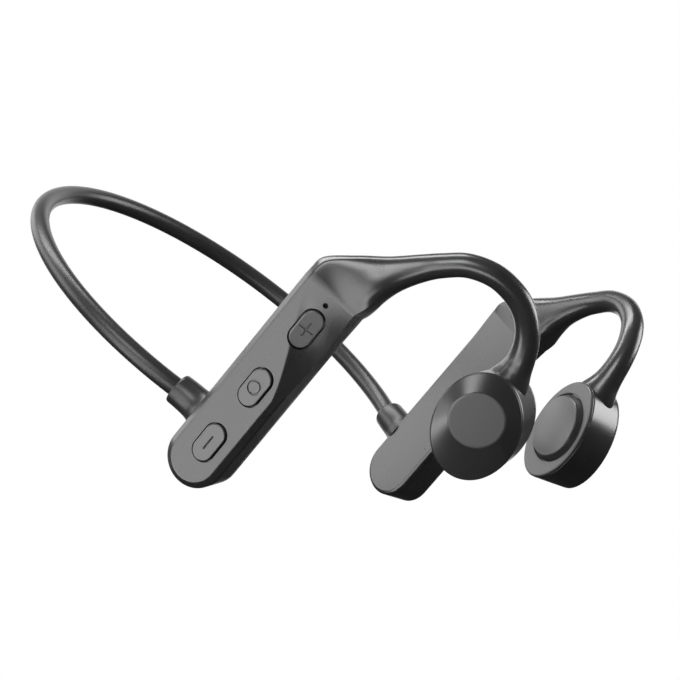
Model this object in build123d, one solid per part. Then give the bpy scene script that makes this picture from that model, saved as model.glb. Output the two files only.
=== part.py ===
"""Bone conduction headphones: a neckband, two arms with ear hooks, and a transducer pod on each hook.

Row frame, in millimetres: the wearer faces -Y, the wearer's right side is at -X, and +Z is up.
The set stands on the lower ends of its two bars and on the rims of its two pods, at Z = 0.
Everything on the right side is built first, and what repeats on the left is its mirror image.
"""

import os
from math import acos, cos, degrees, radians, sin, tan

from build123d import *

# Neckband: one circular arc in a plane that rises towards the back
BAND_RADIUS = 65.7
BAND_END_HALF_WIDTH = 56.9
BAND_RISE_DEG = 45.5
BAND_END = (4.1, 28.1)  # Y and Z of the arc's two ends, before the set is stood level
BAND_SLEEVE_RADIUS = 2.75
BAND_WIRE_RADIUS = 0.6
BAND_CABLE_RADIUS = 0.7
BAND_BORE_GAP = 0.15
BAND_CORE_OFFSET = 1.05  # wire and cable lie this far either side of the sleeve's centre
FLEX_HALF_LENGTH = 8.0  # half of the middle stretch of sleeve that bends

# Bar: the housing behind each ear. Its own frame has x along it, y to the rear edge, z outwards
BAR_INCLINE_DEG = 42.2
BAR_TWIST_DEG = 13.0
BAR_FOOT = (-54.28, -1.07, 10.48)  # centre of the round lower end
BAR_WIDTH = 17.2
BAR_THICKNESS = 12.8
BAR_STRAIGHT = 58.6
BAR_WALL = 1.4
BAR_CHAMFER = 1.7
COVER_THICKNESS = 1.4
COVER_CHAMFER = 0.8
FACET_START = (24.2, -8.6)  # where the crease leaves the front edge
FACET_CORNER = (63.2, 7.1)  # where the crease reaches the rear corner
FACET_DROP = 2.3  # how far the facet has fallen at the front edge
FACET_DROP_AT = 56.6
FACET_BLOCK = (120.0, 90.0, 20.0)  # larger than the bar in every direction
FACET_BLOCK_SHIFT = 40.0

# Buttons on the right bar: place along it, place across it, and whether it lies on the facet
BUTTONS = {
    "minus": (6.3, -0.8, False),
    "power": (26.6, -1.0, False),
    "plus": (47.7, -1.3, True),
}
BUTTON_LENGTH = 11.6
BUTTON_WIDTH = 6.2
BUTTON_GAP = 0.3
BUTTON_PROUD = 0.8
BUTTON_EDGE_ROUND = 0.3
BUTTON_TRAVEL = 0.3
FLANGE_WIDER = 0.6
FLANGE_THICKNESS = 0.6
FLANGE_GAP = 0.05
STEM_RADIUS = 1.2
STEM_CLEARANCE = 0.2  # left to the switch when the key is fully pressed
FACET_STEM = 0.4
SLOT_REACH = 4.0  # how far the slot cutters run above and below the face
SYMBOL_WIDTH = 0.5
SYMBOL_SIZE = 4.0
SYMBOL_DEPTH = 0.25

# Electronics
BOARD = (52.0, 10.5, 0.8)
BOARD_START = 2.0
BOARD_UNDERSIDE = 0.6
SWITCH = (4.0, 3.0, 1.3)
MODULE = (11.0, 9.0, 1.6)
MODULE_AT = 36.0
MODULE_CORNER = 0.5
MIC_AT = (55.9, -1.3)
MIC_HOLE_RADIUS = 0.6
MIC = (1.2, 1.2)  # capsule radius and height
MIC_BELOW_WALL = 1.0
PORT_AT = 15.0
PORT = (9.0, 3.3)
PORT_DEPTH = 6.0
PORT_WALL = 0.3
PORT_GAP = 0.1
PORT_BACK = 1.0
PORT_SHORTER = 0.6
TONGUE = (6.4, 0.7, 3.6)
FLAP = (13.0, 7.0, 0.9)
FLAP_GAP = 0.15
GRIP = (0.6, 3.0, 0.4)  # the rib that a fingernail lifts the flap by
GRIP_INSET = 1.2
BATTERY = (42.0, 12.0, 6.0)
BATTERY_START = 4.0
BATTERY_EDGE = 1.4
BATTERY_BOARD_GAP = 0.8
BATTERY_BOARD = (7.0, 11.0, 0.8)

# Collar that holds the band's end on the bar
COLLAR_ALONG = 8.5
COLLAR_DEPTH = -1.1
COLLAR_LENGTH = 8.1
COLLAR_BASE_RADIUS = 4.95
COLLAR_TIP_RADIUS = 4.2
COLLAR_LIP_ROUND = 0.7
COLLAR_LEAD_LENGTH = 8.0
COLLAR_LEAD_AT = 2.0
COLLAR_LEAD_RADIUS = 1.5
BAND_IN_COLLAR_DEG = 3.2
SOCKET_START_DEG = 170.0

# Ear hook: centre x, y, z, the lean of its section, and the section's height and thickness
HOOK_STATIONS = [
    (-53.0, -48.5, 52.5, 36.0, 21.2, 12.0),
    (-51.5, -54.8, 53.2, 26.0, 15.0, 10.2),
    (-49.7, -60.9, 54.1, 19.0, 9.5, 8.0),
    (-48.1, -67.6, 54.9, 8.0, 7.3, 7.0),
    (-46.7, -73.2, 55.1, 0.0, 6.6, 6.6),
    (-44.6, -79.3, 54.8, -12.0, 6.5, 6.5),
    (-41.4, -85.4, 52.0, -38.0, 6.5, 6.5),
    (-37.6, -88.5, 47.6, -62.0, 6.5, 6.5),
    (-34.2, -89.4, 43.1, -80.0, 6.6, 6.6),
    (-31.6, -88.9, 38.8, -96.0, 6.6, 6.6),
    (-29.6, -87.4, 34.8, -110.0, 6.8, 6.8),
    (-28.2, -85.0, 30.9, -122.0, 7.4, 7.2),
    (-27.4, -81.6, 26.9, -130.0, 9.0, 8.0),
    (-26.6, -78.4, 23.4, -130.0, 10.5, 8.4),
]
HOOK_CORNER_SHARE = 0.46  # corner radius over the section's smaller side
HOOK_ROUND_FROM = 4  # from this station on the section is rounded as far as it can be
HOOK_ROUND_SHORT = 0.02
HOOK_WIRE_RADIUS = 0.6
HOOK_LEAD_RADIUS = 0.45
HOOK_LEAD_SHIFT = (1.0, 0.0, 1.1)
HOOK_WIRE_ROUTE = [
    (-54.0, -43.5, 48.9),
    (-50.6, -57.6, 54.2),
    (-47.4, -71.5, 55.1),
    (-42.5, -84.5, 52.6),
    (-35.7, -89.6, 45.2),
    (-30.4, -88.2, 36.6),
    (-27.0, -79.8, 25.0),
]
WIRE_BEND_SHARE = 0.45

# Pod: its own frame has z out through the cap, x forwards and y up, with z = 0 on the cap
POD_AT = (-36.8, -75.7, 14.97)
POD_YAW_DEG = 25.0
POD_PITCH_DEG = -20.6
CAP_FLAT_RADIUS = 7.75
CAP_DEPTH = 2.3
CAP_WALL = 1.2
CAP_RIM_WALL = 2.4
POD_RIM = (-0.5, -2.25, 11.8, 15.05, 22.0)  # centre x and y, half width, half height, lean
POD_BACK = (2.0, -4.2, 11.9, 15.3, 36.5)
PAD_CENTRE = (2.2, -3.7)
POD_WEB = 1.2
POD_WALL = 1.3
POD_DEPTH = 14.6
FACEPLATE_THICKNESS = 1.0
FACEPLATE_ROUND = 0.4
PAD_RADIUS = 9.3
PAD_BASE_RADIUS = 10.1
PAD_BACK_RADIUS = 8.8
PAD_GAP = 0.3
PAD_BACK_GAP = 0.4
PAD_PROUD = 1.5
PAD_DOME = 0.7
PAD_STEP = 0.1  # the wide part of the pad ends this far behind the faceplate
YOKE_SEAT = -5.6
YOKE_RADIUS = 7.5
YOKE_HEIGHT = 6.4
YOKE_WALL = 1.0
MAGNET_RADIUS = 5.0
MAGNET_HEIGHT = 4.6
COIL_CARRIER = 0.4
COIL_INNER_RADIUS = 5.35
COIL_OUTER_RADIUS = 6.15
COIL_HEIGHT = 3.2
SPRING_AT = -13.4
SPRING_THICKNESS = 0.3
SPRING_OUTER_RADIUS = 10.1
SPRING_RIM = 1.0
SPRING_HUB_RADIUS = 6.2
PAD_STEM_RADIUS = 4.4
SPRING_ARM_WIDTH = 1.6
SPRING_ARMS = 3
SPRING_HOLE_GAP = 0.02
THROUGH = 1.0  # how far a cutter runs past what it cuts

# Level stance
STANCE_TILT_DEG = -1.06
CENTRE_Y = 7.06


def slot_block(length, width, low, high):
    """A stadium-shaped block between two heights."""
    return Pos(0, 0, low) * extrude(SlotOverall(length, width), high - low)


def box_between(low, high):
    sizes = [b - a for a, b in zip(low, high)]
    middle = [(a + b) / 2 for a, b in zip(low, high)]
    return Pos(*middle) * Box(*sizes)


# Frames


def band_plane():
    rise = radians(BAND_RISE_DEG)
    return Plane(origin=(0, *BAND_END), x_dir=(1, 0, 0), z_dir=(0, -sin(rise), cos(rise)))


def bar_plane():
    incline = radians(BAR_INCLINE_DEG)
    twist = radians(BAR_TWIST_DEG)
    along = (0, -cos(incline), sin(incline))
    outwards = (-cos(twist), -sin(twist) * sin(incline), -sin(twist) * cos(incline))
    return Plane(origin=BAR_FOOT, x_dir=along, z_dir=outwards)


def pod_plane():
    yaw = radians(POD_YAW_DEG)
    pitch = radians(POD_PITCH_DEG)
    outwards = (-cos(yaw) * cos(pitch), -sin(yaw) * cos(pitch), sin(pitch))
    forwards = (sin(yaw), -cos(yaw), 0)
    return Plane(origin=POD_AT, x_dir=forwards, z_dir=outwards)


BAND = band_plane()
BAR = bar_plane()
POD = pod_plane()
BAR_FACE = BAR_THICKNESS / 2
BAND_END_DEG = degrees(acos(BAND_END_HALF_WIDTH / BAND_RADIUS))
BAND_CENTRE = BAND_RADIUS * sin(radians(BAND_END_DEG))
FLEX_DEG = degrees(FLEX_HALF_LENGTH / BAND_RADIUS)


def facet_plane(depth=0.0):
    """The sloping facet of the bar's outer side, in the bar's frame, moved inwards by depth."""
    start = Vector(*FACET_START, BAR_FACE)
    corner = Vector(*FACET_CORNER, BAR_FACE)
    low = Vector(FACET_DROP_AT, FACET_START[1], BAR_FACE - FACET_DROP)
    normal = (low - start).cross(corner - start).normalized()
    return Plane(origin=start - normal * depth, x_dir=(corner - start).normalized(), z_dir=normal)


def facet_cutter(depth=0.0):
    """Everything that lies outside the facet."""
    return facet_plane(depth) * (Pos(FACET_BLOCK_SHIFT, 0, FACET_BLOCK[2] / 2) * Box(*FACET_BLOCK))


# Neckband


def band_rod(radius, start_deg, end_deg, offset=0.0):
    """A stretch of round rod along the band's arc, offset outwards in the band's plane."""
    section = Plane.XZ * Pos(BAND_RADIUS + offset, 0) * Circle(radius)
    rod = revolve(section, Axis.Z, revolution_arc=end_deg - start_deg)
    return BAND * (Pos(0, BAND_CENTRE, 0) * Rot(0, 0, start_deg) * rod)


def band_sleeve(start_deg, end_deg):
    sleeve = band_rod(BAND_SLEEVE_RADIUS, start_deg, end_deg)
    start = start_deg - THROUGH
    end = end_deg + THROUGH
    sleeve -= band_rod(BAND_WIRE_RADIUS + BAND_BORE_GAP, start, end, BAND_CORE_OFFSET)
    sleeve -= band_rod(BAND_CABLE_RADIUS + BAND_BORE_GAP, start, end, -BAND_CORE_OFFSET)
    return sleeve


RIGHT_END_DEG = 180 + BAND_END_DEG + BAND_IN_COLLAR_DEG
LEFT_END_DEG = -BAND_END_DEG - BAND_IN_COLLAR_DEG


def neckband_parts():
    return {
        "neckband_sleeve_right": band_sleeve(90 + FLEX_DEG, RIGHT_END_DEG),
        "neckband_sleeve_centre": band_sleeve(90 - FLEX_DEG, 90 + FLEX_DEG),
        "neckband_sleeve_left": band_sleeve(LEFT_END_DEG, 90 - FLEX_DEG),
        "neckband_spring_wire": band_rod(BAND_WIRE_RADIUS, LEFT_END_DEG, RIGHT_END_DEG, BAND_CORE_OFFSET),
        "neckband_cable": band_rod(BAND_CABLE_RADIUS, LEFT_END_DEG, RIGHT_END_DEG, -BAND_CORE_OFFSET),
    }


def collar():
    """The moulded boot on the bar's rear edge, with a socket for the sleeve and a lead hole."""
    wall = BAR_WIDTH / 2
    axis = Plane(origin=(COLLAR_ALONG, wall, COLLAR_DEPTH), z_dir=(0, 1, 0))
    boot = Pos(0, 0, COLLAR_LENGTH / 2) * Cone(COLLAR_BASE_RADIUS, COLLAR_TIP_RADIUS, COLLAR_LENGTH)
    boot = fillet(boot.edges().group_by(Axis.Z)[-1], COLLAR_LIP_ROUND)
    boot -= Pos(0, 0, COLLAR_LEAD_AT) * Cylinder(COLLAR_LEAD_RADIUS, COLLAR_LEAD_LENGTH)
    boot = BAR * (axis * boot)
    return boot - band_rod(BAND_SLEEVE_RADIUS, SOCKET_START_DEG, RIGHT_END_DEG)


# Bar


def bar_outline(inset=0.0):
    half = BAR_WIDTH / 2 - inset
    length = BAR_STRAIGHT - inset
    return Circle(half) + Pos(length / 2, 0) * Rectangle(length, 2 * half)


def bar_block(low, high, inset=0.0):
    return Pos(0, 0, low) * extrude(bar_outline(inset), high - low)


def long_edges(edges):
    """Edges of the bar's rim, without the one across its upper end."""
    return edges.filter_by(lambda e: e.center().X < BAR_STRAIGHT - 0.1)


def bar_outer_shell():
    seam = COVER_THICKNESS - BAR_FACE
    shell = bar_block(seam, BAR_FACE)
    shell = chamfer(long_edges(shell.faces().sort_by(Axis.Z)[-1].edges()), BAR_CHAMFER)
    shell -= facet_cutter()
    cavity = bar_block(seam, BAR_FACE - BAR_WALL, BAR_WALL) - facet_cutter(BAR_WALL)
    shell -= cavity
    lead_hole = Plane(origin=(COLLAR_ALONG, BAR_WIDTH / 2, COLLAR_DEPTH), z_dir=(0, 1, 0))
    shell -= lead_hole * Cylinder(COLLAR_LEAD_RADIUS, 4 * BAR_WALL)
    return shell


def button_plane(name):
    along, across, on_facet = BUTTONS[name]
    if not on_facet:
        return Plane(origin=(along, across, BAR_FACE), x_dir=(1, 0, 0), z_dir=(0, 0, 1))
    facet = facet_plane()
    gap = Vector(along, across, BAR_FACE) - facet.origin
    height = gap.dot(facet.z_dir)
    drop = height / facet.z_dir.Z
    return Plane(origin=(along, across, BAR_FACE - drop), x_dir=(1, 0, 0), z_dir=facet.z_dir)


def button_symbol(name):
    if name == "power":
        ring = Circle(SYMBOL_SIZE / 2) - Circle(SYMBOL_SIZE / 2 - SYMBOL_WIDTH)
        return extrude(ring, SYMBOL_DEPTH)
    symbol = Rectangle(SYMBOL_SIZE, SYMBOL_WIDTH)
    if name == "plus":
        symbol += Rectangle(SYMBOL_WIDTH, SYMBOL_SIZE)
    return extrude(symbol, SYMBOL_DEPTH)


def button(name):
    flange_top = -BAR_WALL - FLANGE_GAP
    flange_low = flange_top - FLANGE_THICKNESS
    key = slot_block(BUTTON_LENGTH, BUTTON_WIDTH, flange_top, BUTTON_PROUD)
    key = fillet(key.faces().sort_by(Axis.Z)[-1].edges(), BUTTON_EDGE_ROUND)
    key -= Pos(0, 0, BUTTON_PROUD - SYMBOL_DEPTH) * button_symbol(name)
    key += slot_block(BUTTON_LENGTH + FLANGE_WIDER, BUTTON_WIDTH + FLANGE_WIDER, flange_low, flange_top)
    switch_top = BOARD_UNDERSIDE + BOARD[2] + SWITCH[2]
    stem = BAR_FACE - switch_top + flange_low - BUTTON_TRAVEL - STEM_CLEARANCE
    if BUTTONS[name][2]:
        stem = FACET_STEM
    key += Pos(0, 0, flange_low - stem / 2) * Cylinder(STEM_RADIUS, stem)
    return button_plane(name) * key


def button_slots():
    """The through slots of the three buttons and the microphone's hole, as one cutter."""
    cutter = Pos(*MIC_AT, BAR_FACE) * Cylinder(MIC_HOLE_RADIUS, 2 * SLOT_REACH)
    length = BUTTON_LENGTH + 2 * BUTTON_GAP
    width = BUTTON_WIDTH + 2 * BUTTON_GAP
    for name in BUTTONS:
        slot = slot_block(length, width, -SLOT_REACH, SLOT_REACH)
        cutter += button_plane(name) * slot
    return cutter


def bar_inner_cover():
    low = -BAR_FACE
    cover = bar_block(low, low + COVER_THICKNESS)
    return chamfer(long_edges(cover.faces().sort_by(Axis.Z)[0].edges()), COVER_CHAMFER)


def port_openings():
    """The recess of the charge flap and the mouth of the port, as one cutter."""
    low = -BAR_FACE
    seat_length = FLAP[0] + 2 * FLAP_GAP
    seat_width = FLAP[1] + 2 * FLAP_GAP
    seat = slot_block(seat_length, seat_width, low - THROUGH, low + FLAP[2] + FLAP_GAP)
    mouth = slot_block(PORT[0], PORT[1], low, low + COVER_THICKNESS + THROUGH)
    return Pos(PORT_AT, 0, 0) * (seat + mouth)


def charge_flap():
    low = -BAR_FACE
    flap = slot_block(FLAP[0], FLAP[1], low, low + FLAP[2])
    grip = Pos(GRIP_INSET - FLAP[0] / 2, 0, low) * Box(*GRIP)
    return BAR * (Pos(PORT_AT, 0, 0) * (flap + grip))


# Electronics inside the bars


def board_box(start, size, low):
    return box_between((start, -size[1] / 2, low), (start + size[0], size[1] / 2, low + size[2]))


def circuit_board():
    return board_box(BOARD_START, BOARD, BOARD_UNDERSIDE)


def switches():
    top = BOARD_UNDERSIDE + BOARD[2]
    found = []
    for along, across, _ in BUTTONS.values():
        found.append(Pos(along, across, top + SWITCH[2] / 2) * Box(*SWITCH))
    return Compound(found)


def bluetooth_module():
    low = BOARD_UNDERSIDE - MODULE[2]
    module = board_box(MODULE_AT, MODULE, low)
    return fillet(module.edges().filter_by(Axis.Z), MODULE_CORNER)


def microphone():
    top = facet_plane(BAR_WALL)
    rise = (Vector(*MIC_AT, 0) - top.origin).dot(top.z_dir) / top.z_dir.Z
    return Pos(*MIC_AT, -rise - MIC_BELOW_WALL - MIC[1] / 2) * Cylinder(*MIC)


def usb_port():
    top = BOARD_UNDERSIDE
    length = PORT[0] - 2 * PORT_GAP
    width = PORT[1] - 2 * PORT_GAP
    outer = slot_block(length, width, top - PORT_DEPTH + PORT_SHORTER, top)
    back = top - PORT_BACK
    inner = slot_block(length - 2 * PORT_WALL, width - 2 * PORT_WALL, top - PORT_DEPTH, back)
    tongue = Pos(0, 0, back - TONGUE[2] / 2) * Box(*TONGUE)
    return Pos(PORT_AT, 0, 0) * (outer - inner + tongue)


def battery():
    cell = board_box(BATTERY_START, BATTERY, -BATTERY[2] / 2)
    return fillet(cell.edges().filter_by(Axis.X), BATTERY_EDGE)


def battery_board():
    return board_box(BATTERY_START + BATTERY[0] + BATTERY_BOARD_GAP, BATTERY_BOARD, 0)


# Ear hook


def hook_normals():
    """The section normals: the lean in the side plane, and the sideways run of the centre line."""
    places = [Vector(*s[:3]) for s in HOOK_STATIONS]
    normals = []
    for i, station in enumerate(HOOK_STATIONS):
        before = places[max(i - 1, 0)]
        after = places[min(i + 1, len(places) - 1)]
        run = after - before
        side = run.X / Vector(0, run.Y, run.Z).length
        lean = radians(station[3])
        normals.append(Vector(side, -cos(lean), sin(lean)).normalized())
    return places, normals


def ear_hook():
    bar_end = Plane(origin=(BAR_STRAIGHT, 0, 0), x_dir=(0, 1, 0), z_dir=(1, 0, 0))
    root = BAR * (bar_end * RectangleRounded(BAR_WIDTH, BAR_THICKNESS, BAR_CHAMFER))
    places, normals = hook_normals()
    sections = [root.face()]
    for i, station in enumerate(HOOK_STATIONS):
        height, thickness = station[4:]
        corner = min(height, thickness) / 2 - HOOK_ROUND_SHORT
        if i < HOOK_ROUND_FROM:
            corner = HOOK_CORNER_SHARE * min(height, thickness)
        normal = normals[i]
        lean = radians(station[3])
        up = Vector(0, sin(lean), cos(lean))
        across = normal.cross(up)
        upright = across.cross(normal).normalized()
        plane = Plane(origin=places[i], x_dir=upright, z_dir=normal)
        sections.append((plane * RectangleRounded(height, thickness, corner)).face())
    return loft(sections, ruled=True)


def wire_path(route):
    """Straight runs joined by arcs, each as large as its two runs allow."""
    points = [Vector(*p) for p in route]
    radii = []
    for a, b, c in zip(points, points[1:], points[2:]):
        turn = radians((b - a).get_angle(c - b))
        shorter = min((b - a).length, (c - b).length)
        radii.append(WIRE_BEND_SHARE * shorter / tan(turn / 2))
    return FilletPolyline(*points, radius=radii)


def hook_rod(radius, shift=(0, 0, 0)):
    path = wire_path([Vector(*p) + Vector(*shift) for p in HOOK_WIRE_ROUTE])
    start = Plane(origin=path @ 0, z_dir=path % 0)
    return sweep(start * Circle(radius), path)


# Pod


def oval(outline, z, inset=0.0):
    x, y, half_width, half_height, lean = outline
    return Pos(x, y, z) * Rot(0, 0, -lean) * Ellipse(half_width - inset, half_height - inset)


def pod_cap():
    flat = Circle(CAP_FLAT_RADIUS)
    cap = loft([flat.face(), oval(POD_RIM, -CAP_DEPTH).face()])
    hollow_top = Pos(0, 0, -CAP_WALL) * Circle(CAP_FLAT_RADIUS - CAP_WALL)
    hollow_low = oval(POD_RIM, -CAP_DEPTH, CAP_RIM_WALL)
    return cap - loft([hollow_top.face(), hollow_low.face()])


def pod_housing():
    outer = loft([
        oval(POD_RIM, -CAP_DEPTH).face(),
        oval(POD_BACK, -POD_DEPTH).face(),
    ])
    web = -CAP_DEPTH - POD_WEB
    hollow = loft([
        oval(POD_RIM, web, POD_WALL).face(),
        oval(POD_BACK, -POD_DEPTH, POD_WALL).face(),
    ])
    hollow -= Pos(*PAD_CENTRE, (web + YOKE_SEAT) / 2) * Cylinder(YOKE_RADIUS, web - YOKE_SEAT)
    return outer, outer - hollow


def pod_faceplate():
    plate = extrude(oval(POD_BACK, -POD_DEPTH), -FACEPLATE_THICKNESS)
    low = plate.faces().sort_by(Axis.Z)[0]
    plate = fillet(low.edges(), FACEPLATE_ROUND)
    hole = Cylinder(PAD_BASE_RADIUS + PAD_GAP, 2 * (FACEPLATE_THICKNESS + THROUGH))
    return plate - Pos(*PAD_CENTRE, -POD_DEPTH) * hole


def disc(radius, low, high):
    return Pos(*PAD_CENTRE, (low + high) / 2) * Cylinder(radius, high - low)


def contact_pad():
    """The skin-side pad: a shallow dome, its tapering side, the stem and the coil's carrier."""
    plate = -POD_DEPTH - FACEPLATE_THICKNESS
    face = plate - PAD_PROUD
    step = -POD_DEPTH - PAD_STEP
    back = SPRING_AT - SPRING_THICKNESS - PAD_BACK_GAP
    sphere_radius = (PAD_RADIUS**2 + PAD_DOME**2) / (2 * PAD_DOME)
    ball = Pos(*PAD_CENTRE, face - PAD_DOME + sphere_radius) * Sphere(sphere_radius)
    pad = disc(PAD_RADIUS, face - PAD_DOME, face) & ball
    pad += Pos(*PAD_CENTRE, (face + plate) / 2) * Cone(PAD_RADIUS, PAD_BASE_RADIUS, PAD_PROUD)
    pad += disc(PAD_BASE_RADIUS, plate, step)
    pad += disc(PAD_BACK_RADIUS, step, back)
    pad += disc(PAD_STEM_RADIUS, back, SPRING_AT)
    return pad + disc(COIL_OUTER_RADIUS, SPRING_AT, SPRING_AT + COIL_CARRIER)


def voice_coil():
    low = SPRING_AT + COIL_CARRIER
    ring = disc(COIL_OUTER_RADIUS, low, low + COIL_HEIGHT)
    return ring - disc(COIL_INNER_RADIUS, low - THROUGH, low + COIL_HEIGHT + THROUGH)


def transducer_yoke():
    low = YOKE_SEAT - YOKE_HEIGHT
    cup = disc(YOKE_RADIUS, low, YOKE_SEAT)
    return cup - disc(YOKE_RADIUS - YOKE_WALL, low - THROUGH, YOKE_SEAT - YOKE_WALL)


def transducer_magnet():
    top = YOKE_SEAT - YOKE_WALL
    return disc(MAGNET_RADIUS, top - MAGNET_HEIGHT, top)


def spring_plate():
    """A thin spider: an outer rim on the housing, three arms and a hub on the pad's stem."""
    low, high = SPRING_AT - SPRING_THICKNESS, SPRING_AT
    rim = disc(SPRING_OUTER_RADIUS, low, high)
    rim -= disc(SPRING_OUTER_RADIUS - SPRING_RIM, low - THROUGH, high + THROUGH)
    hub = disc(SPRING_HUB_RADIUS, low, high)
    plate = rim + hub
    reach = SPRING_OUTER_RADIUS - SPRING_RIM / 2
    for k in range(SPRING_ARMS):
        arm = Pos(reach / 2, 0, (low + high) / 2) * Box(reach, SPRING_ARM_WIDTH, SPRING_THICKNESS)
        plate += Pos(*PAD_CENTRE, 0) * Rot(0, 0, 360 * k / SPRING_ARMS) * arm
    return plate - disc(PAD_STEM_RADIUS + SPRING_HOLE_GAP, low - THROUGH, high + THROUGH)


# Assembly


def right_side():
    outer, housing = pod_housing()
    pod_solid = POD * outer
    wire = hook_rod(HOOK_WIRE_RADIUS)
    lead = hook_rod(HOOK_LEAD_RADIUS, HOOK_LEAD_SHIFT)
    hook = ear_hook() - BAR * facet_cutter() - wire - lead
    hook = hook - pod_solid - POD * pod_cap() - POD * pod_faceplate()
    hook = hook.solids().sort_by(SortBy.VOLUME)[-1]
    return {
        "collar": collar(),
        "bar_outer_shell": BAR * bar_outer_shell() - wire - lead,
        "bar_inner_cover": BAR * bar_inner_cover(),
        "ear_hook": hook,
        "hook_spring_wire": wire - pod_solid,
        "hook_lead": lead - pod_solid,
        "pod_cap": POD * pod_cap(),
        "pod_housing": POD * housing,
        "pod_faceplate": POD * pod_faceplate(),
        "transducer_yoke": POD * transducer_yoke(),
        "transducer_magnet": POD * transducer_magnet(),
        "transducer_spring": POD * spring_plate(),
        "voice_coil": POD * voice_coil(),
        "contact_pad": POD * contact_pad(),
    }


def assemble():
    nodes = neckband_parts()
    for name, shape in right_side().items():
        nodes["right_" + name] = shape
        nodes["left_" + name] = mirror(shape, about=Plane.YZ)
    nodes["right_bar_outer_shell"] -= BAR * button_slots()
    nodes["right_bar_inner_cover"] -= BAR * port_openings()
    nodes["charge_flap"] = charge_flap()
    for name in BUTTONS:
        nodes[name + "_button"] = BAR * button(name)
    nodes["circuit_board"] = BAR * circuit_board()
    nodes["button_switches"] = BAR * switches()
    nodes["bluetooth_module"] = BAR * bluetooth_module()
    nodes["microphone"] = BAR * microphone()
    nodes["usb_port"] = BAR * usb_port()
    nodes["battery"] = mirror(BAR * battery(), about=Plane.YZ)
    nodes["battery_board"] = mirror(BAR * battery_board(), about=Plane.YZ)
    return nodes


def stand(nodes):
    """Level the set, centre it and put its lowest point at Z = 0."""
    level = Rot(STANCE_TILT_DEG, 0, 0)
    lowest = min((level * shape).bounding_box().min.Z for shape in nodes.values())
    place = Pos(0, CENTRE_Y, -lowest) * level
    return {name: place * shape for name, shape in nodes.items()}, place


def main():
    os.makedirs("parts", exist_ok=True)
    nodes, place = stand(assemble())
    for name, shape in nodes.items():
        export_step(shape, f"parts/{name}.step")
    return nodes, place


NODES, STANCE = main()
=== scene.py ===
"""Looks of the bone conduction headphones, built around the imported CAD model.

Shapes are worked out in the model's own frame, in millimetres, before the set is stood level:
the wearer faces -Y and the wearer's right side is at -X. Each piece is then stood level, scaled
to metres and, on the left, mirrored.
"""

from math import acos, cos, hypot, pi, radians, sin, sqrt

import bmesh
import bpy
import numpy as np
from mathutils import Matrix, Vector


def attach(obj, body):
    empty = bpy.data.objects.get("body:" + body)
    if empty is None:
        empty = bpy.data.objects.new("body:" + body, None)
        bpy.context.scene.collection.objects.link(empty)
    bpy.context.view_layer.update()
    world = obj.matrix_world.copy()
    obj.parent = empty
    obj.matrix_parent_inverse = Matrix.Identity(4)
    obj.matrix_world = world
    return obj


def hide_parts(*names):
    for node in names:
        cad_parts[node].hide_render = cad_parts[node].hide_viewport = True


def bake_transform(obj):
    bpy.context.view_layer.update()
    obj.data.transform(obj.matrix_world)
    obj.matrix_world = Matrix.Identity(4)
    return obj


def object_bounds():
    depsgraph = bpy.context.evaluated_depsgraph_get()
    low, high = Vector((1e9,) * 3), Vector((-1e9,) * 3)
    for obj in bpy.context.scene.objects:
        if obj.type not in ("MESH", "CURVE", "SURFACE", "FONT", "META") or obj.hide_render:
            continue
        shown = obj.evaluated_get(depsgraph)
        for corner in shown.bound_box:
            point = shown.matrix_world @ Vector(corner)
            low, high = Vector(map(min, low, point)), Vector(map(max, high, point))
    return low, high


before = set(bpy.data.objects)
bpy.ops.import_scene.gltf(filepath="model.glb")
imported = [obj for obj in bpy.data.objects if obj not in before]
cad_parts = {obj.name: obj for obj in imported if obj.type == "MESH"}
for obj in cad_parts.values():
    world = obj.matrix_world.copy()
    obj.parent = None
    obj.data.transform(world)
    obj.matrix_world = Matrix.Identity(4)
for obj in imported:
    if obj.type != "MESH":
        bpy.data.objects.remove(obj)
cad_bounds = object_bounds()

METRES = 0.001
STAND = Matrix.Translation((0, 7.06, -1.244)) @ Matrix.Rotation(radians(-1.06), 4, "X")

# Neckband
BAND_RADIUS = 65.7
BAND_END_HALF_WIDTH = 56.9
BAND_RISE = radians(45.5)
BAND_END = (4.1, 28.1)  # y and z of both ends
SLEEVE_RADIUS = 2.75
CORE_OFFSET = 1.05  # wire outside and cable inside the sleeve's middle
WIRE_RADIUS = 0.6
CABLE_RADIUS = 0.7
SLEEVE_IN_COLLAR = radians(3.2)
CORE_SHORTER = radians(0.4)

# Bar: its frame has x up along the bar, y to the rear and z outwards
BAR_INCLINE = 42.2  # degrees, like the lean and twist of the ear hook's sections
BAR_TWIST = 13.0
BAR_FOOT = Vector((-54.28, -1.07, 10.48))
BAR_HALF = 8.6
BAR_FACE = 6.4
BAR_STRAIGHT = 58.6
BAR_SQUARENESS = 6.0
COVER_THICKNESS = 1.4
RIM_CHAMFER = 1.7
COVER_ROUND = 1.25
COVER_ROUND_END = 0.3
COVER_EASE = 12.0  # length over which the cover's rounding grows from the knee
EDGE_ROUND = 0.3
SLIVER = 0.02  # keeps neighbouring rings apart

# Facet: places along and across the bar, and slopes, are for the crease's lower and upper end
CREASE_RUN = (20.0, 66.0)
CREASE_ACROSS = (-7.7, 7.4)
FACET_SLOPE = (0.95, 0.1)
CREASE_SOFTNESS = 0.07
TILT_REACH = 1.5  # to each side of a key's middle, where the face's tilt is measured

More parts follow.
